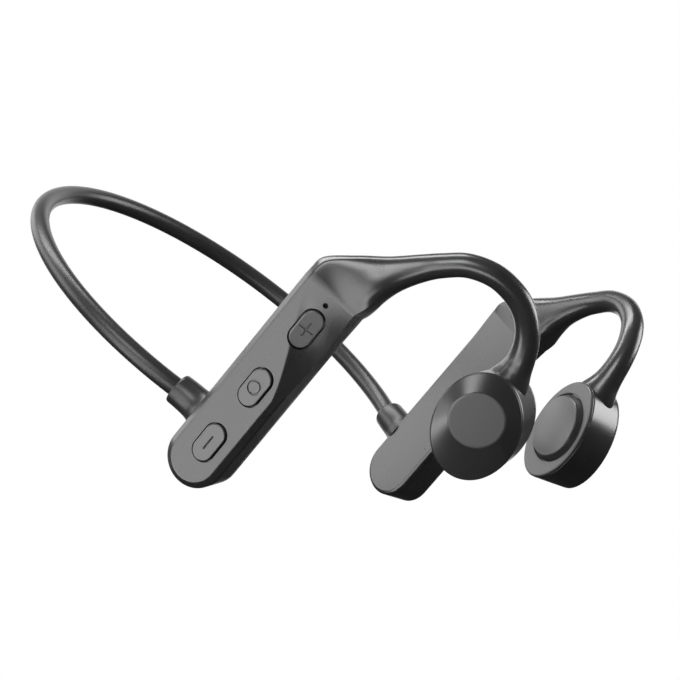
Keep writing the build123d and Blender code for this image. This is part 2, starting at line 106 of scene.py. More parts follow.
# Buttons: place along the bar and place across it
BUTTONS = {
    "minus": (6.3, -0.8),
    "power": (26.6, -1.0),
    "plus": (47.7, -1.3),
}
BUTTON_HALF_LENGTH = 5.8
BUTTON_HALF_WIDTH = 3.1
BUTTON_GAP = 0.4
BUTTON_PROUD = 0.8
SLOT_SINK = 2.4
KEY_SINK = 1.1
KEY_SHOULDER = 0.3
KEY_ROUND = 0.38
SYMBOL_HALF = 2.0
SYMBOL_RING = 1.8
SYMBOL_STROKE = 0.34
SYMBOL_SOFTNESS = 0.1
SYMBOL_DEPTH = 0.45

# Holes in the bar
CUTTER_RISE = 4.0  # how far a cutter stands clear of the surface
MIC_AT = (55.9, -1.3)
MIC_RADIUS = 0.75
MIC_DEPTH = 3.5
PORT_AT = (15.0, 0.0)
PORT_HALF_LENGTH = 4.5
PORT_HALF_WIDTH = 1.65
PORT_DEPTH = 7.0
FLAP_SEAT_HALF_LENGTH = 6.65
FLAP_SEAT_HALF_WIDTH = 3.65
FLAP_SEAT_DEPTH = 1.05

# Collar: its profile is distance from the bar and radius
COLLAR_ALONG = 8.5
COLLAR_DEPTH = -1.1
COLLAR_REACH = 8.0
COLLAR_BEND = 0.55
COLLAR_MOUTH = radians(2.6)
COLLAR_PROFILE = [
    (-1.2, 5.75), (-0.4, 5.65), (0.2, 5.45), (0.8, 5.15), (1.6, 4.9), (2.6, 4.78), (4.0, 4.7),
    (5.0, 4.65), (6.0, 4.6), (6.4, 4.56), (6.7, 4.4), (6.85, 4.15), (6.9, 3.8), (6.9, 2.9), (6.4, 2.75),
]
HEADING_STEP = 0.02

# Ear hook: centre x, y, z, lean and twist of its section, height, thickness and squareness
KNEE_BLEND = 2.6  # stations over which the bar's section turns into the hook's
ELLIPSE = 2.0  # least squareness
RUN_STEP = 0.01
HOOK_STATIONS = [
    (-53.2, -48.2, 52.1, 38.0, 10.0, 18.2, 12.2, 4.8),
    (-51.7, -54.2, 53.3, 29.0, 7.0, 13.6, 10.6, 3.6),
    (-49.9, -60.6, 54.1, 18.0, 3.0, 9.4, 8.3, 2.7),
    (-48.1, -67.6, 54.9, 8.0, 0.0, 7.3, 7.0, 2.2),
    (-46.7, -73.2, 55.1, 0.0, 0.0, 6.6, 6.6, 2.0),
    (-44.6, -79.3, 54.6, -14.0, 0.0, 6.5, 6.5, 2.0),
    (-41.4, -85.0, 51.8, -38.0, 0.0, 6.5, 6.5, 2.0),
    (-37.6, -88.3, 47.5, -62.0, 0.0, 6.5, 6.5, 2.0),
    (-34.2, -89.4, 43.1, -80.0, 0.0, 6.6, 6.6, 2.0),
    (-31.6, -88.9, 38.8, -96.0, 0.0, 6.6, 6.6, 2.0),
    (-29.6, -87.4, 34.8, -110.0, 0.0, 6.9, 6.9, 2.0),
    (-28.3, -85.2, 31.2, -121.0, 0.0, 7.5, 7.4, 2.0),
    (-27.8, -83.4, 28.9, -127.0, 0.0, 8.6, 8.3, 2.0),
    (-27.5, -82.0, 27.2, -130.0, 0.0, 10.2, 9.3, 2.0),
    (-27.3, -80.4, 25.5, -131.0, 0.0, 11.8, 10.1, 2.0),
    (-27.0, -78.6, 23.6, -131.0, 0.0, 11.8, 10.2, 2.0),
    (-26.7, -76.6, 21.4, -131.0, 0.0, 9.6, 9.0, 2.0),
]

# Pod: z out through the cap, x forwards, y up.
# An outline is centre x and y, half width, half height and lean.
POD_AT = Vector((-36.8, -75.7, 14.97))
POD_YAW = radians(25.0)
POD_PITCH = radians(-20.6)
CAP_FLAT = 7.75
CAP_FLAT_RINGS = (2.0, 5.0, 7.0)
CAP_FLAT_EDGE = 0.25
CAP_FLAT_DROP = 0.05
CAP_CONE_START = 0.07
CAP_DEPTH = 2.3
CAP_ROUND = 0.35
CAP_ROUND_DEPTH = 0.25
CAP_ROUND_START = 0.35  # share of a quarter turn that the cone already covers
CAP_ROUND_BASE = 0.27
CAP_SIDE = 0.34
CAP_LIP = 0.4
POD_RIM = (-0.5, -2.25, 11.8, 15.05, 22.0)
POD_BACK = (2.0, -4.2, 11.9, 15.3, 36.5)
POD_DEPTH = 14.6
HOUSING_TOP = -CAP_DEPTH - 0.42
HOUSING_LIP = 2.0
HOUSING_ROUND = 0.2
HOUSING_EDGE = 0.3
HOUSING_BACK_EDGE = 0.35
FACEPLATE = 1.0
PLATE_SEAM = 0.08
PLATE_BACK_ROUND = 0.15
PLATE_BACK_EDGE = 0.3
PLATE_ROUND = 0.5
PAD_CENTRE = (2.2, -3.7)
PAD_RADIUS = 9.3
PAD_BASE_RADIUS = 10.1
PAD_HOLE_RADIUS = 10.4
PAD_HOLE_ROUND = 0.2
PAD_HOLE_ROUND_MIDDLE = (0.05, 0.06)  # wider than the hole, and below the face
PAD_HOLE_ROUND_DEPTH = 0.22
PAD_SUNK = 0.1
PAD_UPRIGHT = 0.2
PAD_PROUD = 1.5
PAD_ROUND = 0.55
PAD_DOME = 0.9
PAD_TIP = 0.01

# Camera, in the model's own frame
CAMERA_AT = Vector((-562.9, -351.0, -37.4))
CAMERA_HEADING = radians(31.0)
CAMERA_RISE = radians(7.2)
CAMERA_ROLL = radians(2.0)
CAMERA_LENS = 120.7
CAMERA_NEAR = 0.01

# Least angles, in degrees, of the corners that are shaded sharp
SHELL_CORNER = 50
COLLAR_CORNER = 38
CAP_CORNER = 20
POD_CORNER = 45
PAD_CORNER = 60

# Fineness of the meshes
TOP_POINTS = 64
SIDE_POINTS = 9
BOTTOM_POINTS = 6
ROUND_END_RINGS = 34
BAR_RINGS = 150
HOOK_RINGS = 190
COVER_SIDE_POINTS = 60
COVER_END_POINTS = 66
KEY_POINTS = 320
KEY_TOP_RINGS = 60
BAND_RINGS = 340
SLEEVE_POINTS = 48
CORE_POINTS = 16
COLLAR_RINGS = 90
COLLAR_POINTS = 72
SLOT_POINTS = 96
HOLE_POINTS = 32
POD_POINTS = 160

# Floor and lights
FLOOR_REACH = 12
FLOOR_FADE = (0.25, 1.0)
LIGHT_DISTANCE = 0.9
LIGHTS = {  # direction from the set, width and height in metres, radiance
    "side": ((-0.92, 0.2, -0.24), (0.85, 0.62), 3.1),
    "low_left": ((-0.82, -0.27, -0.5), (0.24, 0.24), 4.2),
    "back_left": ((-0.57, 0.74, 0.36), (0.5, 0.5), 3.2),
    "low_back": ((-0.7, 0.56, -0.44), (0.3, 0.3), 3.4),
    "front_left": ((-0.88, -0.26, 0.4), (0.35, 0.35), 7.0),
    "right": ((0.7, -0.7, 0.14), (0.5, 0.45), 6.0),
    "back": ((0.04, 0.88, 0.48), (0.5, 0.4), 2.2),
    "top": ((-0.1, 0.25, 1.0), (0.25, 0.8), 10.0),
    "backdrop": ((0.85, 0.51, 0.3), (1.3, 0.9), 1.3),
}
WORLD_SEEN = 1.0
WORLD_LIGHT = 0.04


# Frames


def plane(origin, x_axis, z_axis):
    """A matrix whose columns are x, y and z and whose place is origin."""
    x_axis = Vector(x_axis).normalized()
    z_axis = Vector(z_axis).normalized()
    y_axis = z_axis.cross(x_axis)
    matrix = Matrix((x_axis, y_axis, z_axis)).transposed().to_4x4()
    matrix.translation = Vector(origin)
    return matrix


def bar_frame():
    incline = radians(BAR_INCLINE)
    twist = radians(BAR_TWIST)
    outwards = (-cos(twist), -sin(twist) * sin(incline), -sin(twist) * cos(incline))
    return plane(BAR_FOOT, (0, -cos(incline), sin(incline)), outwards)


BAR = bar_frame()
POD = plane(
    POD_AT,
    (sin(POD_YAW), -cos(POD_YAW), 0),
    (-cos(POD_YAW) * cos(POD_PITCH), -sin(POD_YAW) * cos(POD_PITCH), sin(POD_PITCH)),
)
BAND = plane((0, *BAND_END), (1, 0, 0), (0, -sin(BAND_RISE), cos(BAND_RISE)))
BAND_END_ANGLE = acos(BAND_END_HALF_WIDTH / BAND_RADIUS)
BAND_CENTRE = BAND_RADIUS * sin(BAND_END_ANGLE)


def moved(matrix, points):
    """Points, as an array whose last axis is x, y, z, carried by a matrix."""
    m = np.array(matrix)
    return points @ m[:3, :3].T + m[:3, 3]


# Mesh building


def add_mesh(name, points, faces, side="right"):
    """A mesh object from points in the model's frame, stood level, in metres."""
    points = np.array(points, float)
    if side == "left":
        points = points * (-1, 1, 1)
        faces = [tuple(reversed(face)) for face in faces]
    points = moved(STAND, points) * METRES
    mesh = bpy.data.meshes.new(name)
    mesh.from_pydata(points.tolist(), [], faces)
    mesh.validate()
    piece = bpy.data.objects.new(name, mesh)
    bpy.context.scene.collection.objects.link(piece)
    clean = bmesh.new()
    clean.from_mesh(mesh)
    bmesh.ops.remove_doubles(clean, verts=clean.verts, dist=1e-6)
    bmesh.ops.recalc_face_normals(clean, faces=clean.faces)
    clean.to_mesh(mesh)
    clean.free()
    mesh.shade_smooth()
    return piece


def loop_faces(count, size):
    """Quads between count closed loops of size points each."""
    faces = []
    for i in range(count - 1):
        for j in range(size):
            k = (j + 1) % size
            faces.append((i * size + j, i * size + k, (i + 1) * size + k, (i + 1) * size + j))
    return faces


def skin(name, loops, side="right", matrix=None, close_start=True, close_end=True):
    """A skin over closed loops of equal size, with its ends closed by fans."""
    loops = np.array(loops, float)
    if matrix is not None:
        loops = moved(matrix, loops)
    count, size = loops.shape[:2]
    points = list(loops.reshape(-1, 3))
    faces = loop_faces(count, size)
    if close_start:
        points.append(loops[0].mean(0))
        faces += [(len(points) - 1, (j + 1) % size, j) for j in range(size)]
    if close_end:
        points.append(loops[-1].mean(0))
        base = (count - 1) * size
        faces += [(len(points) - 1, base + j, base + (j + 1) % size) for j in range(size)]
    return add_mesh(name, points, faces, side)


def prism(name, outline, low, high, matrix):
    """A straight-sided cutter between two heights."""
    return skin(name, [at_height(outline, low), at_height(outline, high)], matrix=matrix)


def sharpen(piece, angle):
    """Smooth shading that breaks at real corners."""
    piece.data.set_sharp_from_angle(angle=radians(angle))
    return piece


def cut(piece, cutters):
    """Subtract closed meshes from a piece and apply it."""
    for cutter in cutters:
        change = piece.modifiers.new("cut", "BOOLEAN")
        change.operation = "DIFFERENCE"
        change.solver = "EXACT"
        change.object = cutter
    bpy.context.view_layer.update()
    result = bpy.data.meshes.new_from_object(piece.evaluated_get(bpy.context.evaluated_depsgraph_get()))
    piece.modifiers.clear()
    piece.data = result
    for cutter in cutters:
        bpy.data.objects.remove(cutter)
    return piece


def smoothstep(t):
    t = np.clip(t, 0.0, 1.0)
    return t * t * (3 - 2 * t)


def soft_minimum(a, b, softness):
    return -softness * np.logaddexp(-a / softness, -b / softness)


def spline(values, places):
    """Catmull-Rom through rows of values, read at places counted in rows."""
    rows = np.array(values, float)
    rows = np.vstack([2 * rows[0] - rows[1], rows, 2 * rows[-1] - rows[-2]])
    found = []
    for place in places:
        i = min(int(place), len(rows) - 4)
        t = place - i
        a, b, c, d = rows[i : i + 4]
        bend = 2 * a - 5 * b + 4 * c - d
        twist = 3 * b - a - 3 * c + d
        found.append(0.5 * (2 * b + (c - a) * t + bend * t**2 + twist * t**3))
    return np.array(found)


# Outlines


def at_height(outline, z):
    return np.column_stack([outline, np.full(len(outline), z)])


def disc(radius, centre=(0, 0), size=POD_POINTS):
    turns = np.linspace(0, 2 * pi, size, endpoint=False)
    return np.stack([centre[0] + radius * np.cos(turns), centre[1] + radius * np.sin(turns)], 1)


def egg(outline, inset=0.0):
    """Points round a leaning ellipse, started in the same direction whatever its lean."""
    x, y, half_width, half_height, lean = outline
    lean = radians(lean)
    turns = np.linspace(0, 2 * pi, POD_POINTS, endpoint=False) + lean
    u = (half_width - inset) * np.cos(turns)
    v = (half_height - inset) * np.sin(turns)
    return np.stack([x + u * cos(lean) + v * sin(lean), y - u * sin(lean) + v * cos(lean)], 1)


def stadium(half_length, half_width, inset=0.0, size=SLOT_POINTS):
    """Points round a stadium outline: one end, one straight side, and the same again."""
    radius = half_width - inset
    middle = half_length - half_width
    share = np.linspace(0, 1, size // 4, endpoint=False)
    turns = pi * (share - 0.5)
    end = np.stack([middle + radius * np.cos(turns), radius * np.sin(turns)], 1)
    straight = np.stack([middle * (1 - 2 * share), np.full(len(share), radius)], 1)
    half = np.vstack([end, straight])
    return np.vstack([half, -half])


# Bar and ear hook


def face_height(along, across):
    """Height of the bar's outer face: a flat part and a sloping facet, with a chamfered rim."""
    step = smoothstep((along - CREASE_RUN[0]) / (CREASE_RUN[1] - CREASE_RUN[0]))
    crease = CREASE_ACROSS[0] + (CREASE_ACROSS[1] - CREASE_ACROSS[0]) * step
    slope = FACET_SLOPE[0] + (FACET_SLOPE[1] - FACET_SLOPE[0]) * step
    facet = BAR_FACE + slope * (across - crease)
    reach = np.hypot(min(along, 0.0), across)
    rim = BAR_FACE - (reach - (BAR_HALF - RIM_CHAMFER))
    height = soft_minimum(np.full_like(across, BAR_FACE), facet, CREASE_SOFTNESS)
    return soft_minimum(height, rim, CREASE_SOFTNESS)


def bar_section(along, low):
    """One section of the bar, as y and z, from the middle of its underside round by the rear."""
    half = sqrt(max(BAR_HALF**2 - min(along, 0.0) ** 2, 1e-8))
    across = half * np.linspace(1, -1, TOP_POINTS)
    top = np.stack([across, face_height(along, across)], 1)
    edge = min(EDGE_ROUND, 0.5 * half)
    turn = np.linspace(0, pi / 2, 4)
    corner = np.stack([half - edge + edge * np.sin(turn), low + edge - edge * np.cos(turn)], 1)
    under = np.stack([np.linspace(0, half - edge, BOTTOM_POINTS)[:-1], np.full(BOTTOM_POINTS - 1, low)], 1)
    rise = np.linspace(0, 1, SIDE_POINTS)[1:-1, None]
    rear = corner[-1] + (top[0] - corner[-1]) * rise
    front_corner = corner[::-1] * (-1, 1)
    front = top[-1] + (front_corner[0] - top[-1]) * rise
    return np.vstack([under, corner, rear, top, front, front_corner, (under * (-1, 1))[:0:-1]])


def bar_rings():
    """Sections from the round lower end to the start of the knee, in the bar's frame."""
    low = -BAR_FACE + COVER_THICKNESS
    places = [-BAR_HALF * sin(turn) for turn in np.linspace(pi / 2, 0, ROUND_END_RINGS)]
    places += list(np.linspace(0, BAR_STRAIGHT - SLIVER, BAR_RINGS)[1:])
    rings = []
    for along in places:
        section = bar_section(along, low)
        rings.append(np.column_stack([np.full(len(section), along), section]))
    section = bar_section(BAR_STRAIGHT, -BAR_FACE)
    rings.append(np.column_stack([np.full(len(section), BAR_STRAIGHT), section]))
    return [moved(BAR, ring) for ring in rings]


def hook_frame(values, run):
    """Section frame of the hook: along it, upright and outwards."""
    lean = radians(values[3])
    side = run[0] / hypot(run[1], run[2])
    along = Vector((side, -cos(lean), sin(lean))).normalized()
    upright = Vector((0, sin(lean), cos(lean)))
    outwards = along.cross(upright).normalized()
    upright = outwards.cross(along)
    turn = Matrix.Rotation(radians(values[4]), 3, along)
    return turn @ upright, turn @ outwards


def round_section(directions, half_height, half_thickness, squareness):
    """A superellipse read in the same directions as the bar's section."""
    y = directions[:, 0] / half_height
    z = directions[:, 1] / half_thickness
    reach = (np.abs(y) ** squareness + np.abs(z) ** squareness) ** (-1 / squareness)
    return directions * reach[:, None]


def hook_rings():
    """Sections over the knee and round the ear, in the model's frame."""
    start = bar_section(BAR_STRAIGHT, -BAR_FACE)
    root = BAR @ Vector((BAR_STRAIGHT, 0, 0))
    width = 2 * BAR_HALF
    thickness = 2 * BAR_FACE
    stations = [(*root, BAR_INCLINE, BAR_TWIST, width, thickness, BAR_SQUARENESS)] + HOOK_STATIONS
    steps = np.linspace(0, len(stations) - 1, HOOK_RINGS)[1:]
    values = spline(stations, steps)
    runs = spline(stations, steps + RUN_STEP) - spline(stations, steps - RUN_STEP)
    directions = start / np.hypot(start[:, 0], start[:, 1])[:, None]
    rings = []
    for step, row, run in zip(steps, values, runs):
        upright, outwards = hook_frame(row, run)
        square = max(row[7], ELLIPSE)
        shape = round_section(directions, row[5] / 2, row[6] / 2, square)
        resized = start * (row[5] / width, row[6] / thickness)
        share = float(smoothstep(step / KNEE_BLEND))
        section = resized * (1 - share) + shape * share
        ring = np.array(row[:3]) + section[:, :1] * np.array(upright) + section[:, 1:] * np.array(outwards)
        rings.append(ring)
    return rings


def spot_height(along, across):
    """Height of the bar's outer face at one place."""
    return float(face_height(along, np.array([across]))[0])


def facet_tilt(along, across):
    """The outward direction of the bar's outer face at a place, in the bar's frame."""
    rise_x = spot_height(along + TILT_REACH, across) - spot_height(along - TILT_REACH, across)
    rise_y = spot_height(along, across + TILT_REACH) - spot_height(along, across - TILT_REACH)
    return Vector((-rise_x, -rise_y, 2 * TILT_REACH)).normalized()


def button_frame(name):
    along, across = BUTTONS[name]
    return BAR @ plane((along, across, spot_height(along, across)), (1, 0, 0), facet_tilt(along, across))


def slot_cutter(name):
    outline = stadium(BUTTON_HALF_LENGTH + BUTTON_GAP, BUTTON_HALF_WIDTH + BUTTON_GAP)
    return prism("slot_" + name, outline, -SLOT_SINK, CUTTER_RISE, button_frame(name))


def port_cutter():
    """The mouth of the charging port, opened from the underside of the shell."""
    outline = stadium(PORT_HALF_LENGTH, PORT_HALF_WIDTH) + PORT_AT
    return prism("slot_port", outline, -BAR_FACE, PORT_DEPTH - BAR_FACE, BAR)


def mic_cutter():
    outline = disc(MIC_RADIUS, MIC_AT, HOLE_POINTS)
    return prism("slot_mic", outline, BAR_FACE - MIC_DEPTH, BAR_FACE + CUTTER_RISE, BAR)


def arm(side):
    """The bar's outer shell and the ear hook, moulded as one smooth skin."""
    piece = skin(side + "_arm_skin", bar_rings() + hook_rings(), side)
    if side == "right":
        cut(piece, [slot_cutter(name) for name in BUTTONS] + [mic_cutter(), port_cutter()])
    return sharpen(piece, SHELL_CORNER)


def cover_loop(share):
    """The cover's outline part of the way round its rounded rim, from its face (0) to its side (1)."""
    turn = share * pi / 2
    run = np.linspace(BAR_STRAIGHT, 0, COVER_SIDE_POINTS)
    grown = smoothstep((BAR_STRAIGHT - run) / COVER_EASE)
    round_off = COVER_ROUND_END + (COVER_ROUND - COVER_ROUND_END) * grown
    inset = round_off * (1 - sin(turn))
    low = -BAR_FACE + round_off * (1 - cos(turn))
    angles = np.linspace(-pi / 2, -1.5 * pi, COVER_END_POINTS)[1:-1]
    reach = BAR_HALF - inset[-1]
    front = np.stack([run, inset - BAR_HALF, low], 1)
    end = np.stack([reach * np.cos(angles), reach * np.sin(angles), np.full(len(angles), low[-1])], 1)
    return np.vstack([front, end, (front * (1, -1, 1))[::-1]])


def cover(side):
    """The bar's inner cover; the right one has the charge flap's seat and the port's mouth."""
    loops = [cover_loop(share) for share in np.linspace(0, 1, 8)]
    seam = at_height(loops[-1][:, :2], COVER_THICKNESS - BAR_FACE)
    piece = skin(side + "_cover_skin", loops + [seam], side, BAR)
    if side == "right":
        low = -BAR_FACE - CUTTER_RISE
        seat = stadium(FLAP_SEAT_HALF_LENGTH, FLAP_SEAT_HALF_WIDTH) + PORT_AT
        mouth = stadium(PORT_HALF_LENGTH, PORT_HALF_WIDTH) + PORT_AT
        seat_cutter = prism("slot_seat", seat, low, FLAP_SEAT_DEPTH - BAR_FACE, BAR)
        mouth_cutter = prism("slot_mouth", mouth, low, PORT_DEPTH - BAR_FACE, BAR)
        cut(piece, [seat_cutter, mouth_cutter])
    return sharpen(piece, SHELL_CORNER)


def symbol_reach(name, x, y):
    """Distance from a point on a key to the middle of its symbol's stroke."""
    if name == "power":
        return np.abs(np.hypot(x, y) - SYMBOL_RING)
    bar = np.hypot(np.maximum(np.abs(x) - SYMBOL_HALF, 0), y)
    if name == "minus":
        return bar
    return np.minimum(bar, np.hypot(x, np.maximum(np.abs(y) - SYMBOL_HALF, 0)))


def key_outline(inset):
    return stadium(BUTTON_HALF_LENGTH, BUTTON_HALF_WIDTH, inset, KEY_POINTS)


def button(name):
    """A flat key with a rounded rim and its symbol cut in."""
    loops = [at_height(key_outline(0), z) for z in (-KEY_SINK, -KEY_SHOULDER)]
    for turn in np.linspace(0, pi / 2, 6):
        outline = key_outline(KEY_ROUND * (1 - cos(turn)))
        loops.append(at_height(outline, BUTTON_PROUD - KEY_ROUND + KEY_ROUND * sin(turn)))
    for inset in np.linspace(KEY_ROUND, BUTTON_HALF_WIDTH - SLIVER, KEY_TOP_RINGS)[1:]:
        outline = key_outline(inset)
        reach = symbol_reach(name, outline[:, 0], outline[:, 1])
        groove = SYMBOL_DEPTH * (1 - smoothstep((reach - SYMBOL_STROKE / 2) / SYMBOL_SOFTNESS))
        loops.append(np.column_stack([outline, BUTTON_PROUD - groove]))
    piece = skin(name + "_key", loops, matrix=button_frame(name))
    return sharpen(piece, SHELL_CORNER)


# Collar and neckband


def band_point(angle, offset=0.0):
    """A point of the band's arc in the model's frame; angle runs from +X round by the back."""
    radius = BAND_RADIUS + offset
    return BAND @ Vector((radius * cos(angle), BAND_CENTRE + radius * sin(angle), 0))


def band_tube(name, radius, offset, end_extra, size):
    """A round tube along the whole band."""
    start = -BAND_END_ANGLE - end_extra
    stop = pi + BAND_END_ANGLE + end_extra
    normal = np.array(BAND.col[2][:3])
    loops = []
    for angle in np.linspace(start, stop, BAND_RINGS):
        centre = np.array(band_point(angle, offset))
        outwards = np.array(BAND.to_3x3() @ Vector((cos(angle), sin(angle), 0)))
        turns = np.linspace(0, 2 * pi, size, endpoint=False)[:, None]
        loops.append(centre + radius * (np.cos(turns) * outwards + np.sin(turns) * normal))
    return skin(name, loops)


def collar(side):
    """The boot that holds the band's end, flared where it meets the bar."""
    foot = BAR @ Vector((COLLAR_ALONG, BAR_HALF, COLLAR_DEPTH))
    away = BAR.to_3x3() @ Vector((0, 1, 0))
    end_angle = pi + BAND_END_ANGLE - COLLAR_MOUTH
    mouth = band_point(end_angle)
    heading = (band_point(end_angle - HEADING_STEP) - mouth).normalized()
    side_axis = away.cross(BAR.to_3x3() @ Vector((0, 0, 1))).normalized()
    turns = np.linspace(0, 2 * pi, COLLAR_POINTS, endpoint=False)[:, None]
    loops = []
    for along, radius in spline(COLLAR_PROFILE, np.linspace(0, len(COLLAR_PROFILE) - 1, COLLAR_RINGS)):
        share = max(along, 0.0) / COLLAR_REACH
        direction = away.lerp(heading, COLLAR_BEND * share).normalized()
        across = side_axis - direction * side_axis.dot(direction)
        across.normalize()
        other = direction.cross(across)
        on_bar = foot + away * along
        on_band = mouth + heading * (along - COLLAR_REACH)
        ring = np.cos(turns) * np.array(across) + np.sin(turns) * np.array(other)
        loops.append(np.array(on_bar.lerp(on_band, share)) + radius * ring)
    return sharpen(skin(side + "_boot", loops, side), COLLAR_CORNER)


# Pod


def wall_outline(z):
    """The pod's outline between its rim and its back."""
    share = (-z - CAP_DEPTH) / (POD_DEPTH - CAP_DEPTH)
    return tuple(a + (b - a) * share for a, b in zip(POD_RIM, POD_BACK))


def pod_cap(side):
    """A flat disc with a conical ring that falls to the pod's rim."""
    loops = [at_height(disc(radius), 0) for radius in (*CAP_FLAT_RINGS, CAP_FLAT - CAP_FLAT_EDGE)]
    loops.append(at_height(disc(CAP_FLAT), -CAP_FLAT_DROP))
    for share in np.linspace(0, 1, 22)[1:]:
        outline = disc(CAP_FLAT) * (1 - share) + egg(POD_RIM, CAP_ROUND) * share
        loops.append(at_height(outline, -CAP_CONE_START - (CAP_DEPTH - CAP_ROUND_DEPTH) * share))
    for turn in np.linspace(CAP_ROUND_START, 1.0, 4) * pi / 2:
        outline = egg(POD_RIM, CAP_ROUND * (1 - sin(turn)))
        loops.append(at_height(outline, -CAP_DEPTH - CAP_ROUND_BASE + CAP_ROUND_DEPTH * cos(turn)))
    loops.append(at_height(egg(POD_RIM), -CAP_DEPTH - CAP_SIDE))
    loops.append(at_height(egg(POD_RIM, CAP_LIP), -CAP_DEPTH - CAP_LIP))
    return sharpen(skin(side + "_cap_skin", loops, side, POD), CAP_CORNER)


def pod_housing(side):
    """The side wall between the cap and the faceplate, with softened rims."""
    top = HOUSING_TOP
    low = -POD_DEPTH
    rim = wall_outline(top)
    loops = [at_height(egg(rim, inset), top) for inset in (HOUSING_LIP, HOUSING_EDGE)]
    for turn in np.linspace(0, pi / 2, 4):
        inset = HOUSING_ROUND * (1 - sin(turn))
        loops.append(at_height(egg(rim, inset), top - HOUSING_ROUND * (1 - cos(turn))))
    for z in np.linspace(top - HOUSING_EDGE, low + HOUSING_EDGE, 24):
        loops.append(at_height(egg(wall_outline(z)), z))
    for turn in np.linspace(0, pi / 2, 4):
        inset = HOUSING_ROUND * (1 - cos(turn))
        loops.append(at_height(egg(POD_BACK, inset), low + HOUSING_ROUND * (1 - sin(turn))))
    loops.append(at_height(egg(POD_BACK, HOUSING_BACK_EDGE), low))
    return sharpen(skin(side + "_housing_skin", loops, side, POD), POD_CORNER)


def pod_faceplate(side):
    """The plate on the skin side, with the round hole that the pad moves in."""
    seam = -POD_DEPTH - PLATE_SEAM
    face = -POD_DEPTH - FACEPLATE
    hole = disc(PAD_HOLE_RADIUS, PAD_CENTRE)
    hole_edge = disc(PAD_HOLE_RADIUS + PAD_HOLE_ROUND, PAD_CENTRE)
    wider, deeper = PAD_HOLE_ROUND_MIDDLE
    loops = [at_height(hole, seam), at_height(egg(POD_BACK, PLATE_BACK_EDGE), seam)]
    for turn in np.linspace(0, pi / 2, 4):
        inset = PLATE_BACK_ROUND * (1 - sin(turn))
        loops.append(at_height(egg(POD_BACK, inset), seam - PLATE_BACK_ROUND * (1 - cos(turn))))
    for turn in np.linspace(0, pi / 2, 6):
        inset = PLATE_ROUND * (1 - cos(turn))
        loops.append(at_height(egg(POD_BACK, inset), face + PLATE_ROUND * (1 - sin(turn))))
    for share in np.linspace(0, 1, 8)[1:]:
        outline = egg(POD_BACK, PLATE_ROUND) * (1 - share) + hole_edge * share
        loops.append(at_height(outline, face))
    loops.append(at_height(disc(PAD_HOLE_RADIUS + wider, PAD_CENTRE), face + deeper))
    loops.append(at_height(hole, face + PAD_HOLE_ROUND_DEPTH))
    loops.append(at_height(hole, seam))
    return sharpen(skin(side + "_plate_skin", loops, side, POD, False, False), POD_CORNER)


def contact_pad(side):
    """The soft pad: a tapering side, a rounded rim and a shallow dome."""
    plate = -POD_DEPTH - FACEPLATE
    face = plate - PAD_PROUD
    base = disc(PAD_BASE_RADIUS, PAD_CENTRE)
    loops = [at_height(base, PAD_SUNK - POD_DEPTH), at_height(base, plate + PAD_UPRIGHT)]
    for turn in np.linspace(0, pi / 2, 8):
        radius = PAD_RADIUS - PAD_ROUND * (1 - cos(turn))
        loops.append(at_height(disc(radius, PAD_CENTRE), face + PAD_ROUND * (1 - sin(turn))))
    for share in np.linspace(0, 1, 22)[1:]:
        radius = max((PAD_RADIUS - PAD_ROUND) * (1 - share), PAD_TIP)
        loops.append(at_height(disc(radius, PAD_CENTRE), face - PAD_DOME * (1 - (1 - share) ** 2)))
    return sharpen(skin(side + "_pad_skin", loops, side, POD), PAD_CORNER)


# Materials


CLOUD_SIZE = 1 / 90
METAL_GRAIN = 0.0003


def new_material(name):
    material = bpy.data.materials.new(name)
    material.use_nodes = True
    return material, material.node_tree.nodes, material.node_tree.links


def noise(nodes, links, place, grain_size, detail):
    """The value of a noise texture whose grain is given in metres."""
    texture = nodes.new("ShaderNodeTexNoise")
    texture.inputs["Scale"].default_value = 1 / grain_size
    texture.inputs["Detail"].default_value = detail
    links.new(place, texture.inputs["Vector"])
    return texture.outputs["Fac"]


def vary_colour(nodes, links, value, low, high, span=(0.0, 1.0)):
    """Base colour between two tones, over a span of a value."""
    ramp = nodes.new("ShaderNodeValToRGB")
    for stop, tone, place in zip(ramp.color_ramp.elements, (low, high), span):
        stop.color = (*tone, 1)
        stop.position = place
    links.new(value, ramp.inputs["Fac"])
    links.new(ramp.outputs["Color"], nodes["Principled BSDF"].inputs["Base Color"])


def vary_roughness(nodes, links, value, low, high):
    gloss = nodes.new("ShaderNodeMapRange")
    gloss.inputs["To Min"].default_value = low
    gloss.inputs["To Max"].default_value = high
    links.new(value, gloss.inputs["Value"])
    links.new(gloss.outputs["Result"], nodes["Principled BSDF"].inputs["Roughness"])


def raise_grain(nodes, links, value, depth_mm, strength=1.0):
    bump = nodes.new("ShaderNodeBump")
    bump.inputs["Strength"].default_value = strength
    bump.inputs["Distance"].default_value = depth_mm * METRES
    links.new(value, bump.inputs["Height"])
    links.new(bump.outputs["Normal"], nodes["Principled BSDF"].inputs["Normal"])


def toned(colour, share):
    return tuple(channel * share for channel in colour)


def moulded(name, colour, roughness, grain_mm=0.22, grain_depth=0.008, specular=0.85):
    """Moulded plastic or rubber: fine spark texture and faint flow marks."""
    material, nodes, links = new_material(name)
    nodes["Principled BSDF"].inputs["Specular IOR Level"].default_value = specular
    place = nodes.new("ShaderNodeTexCoord").outputs["Object"]
    clouds = noise(nodes, links, place, CLOUD_SIZE, detail=5.0)
    vary_colour(nodes, links, clouds, toned(colour, 0.93), toned(colour, 1.07), span=(0.3, 0.7))
    vary_roughness(nodes, links, clouds, roughness - 0.03, roughness + 0.03)
    grain = noise(nodes, links, place, grain_mm * METRES, detail=3.0)
    raise_grain(nodes, links, grain, grain_depth, strength=0.1)
    return material


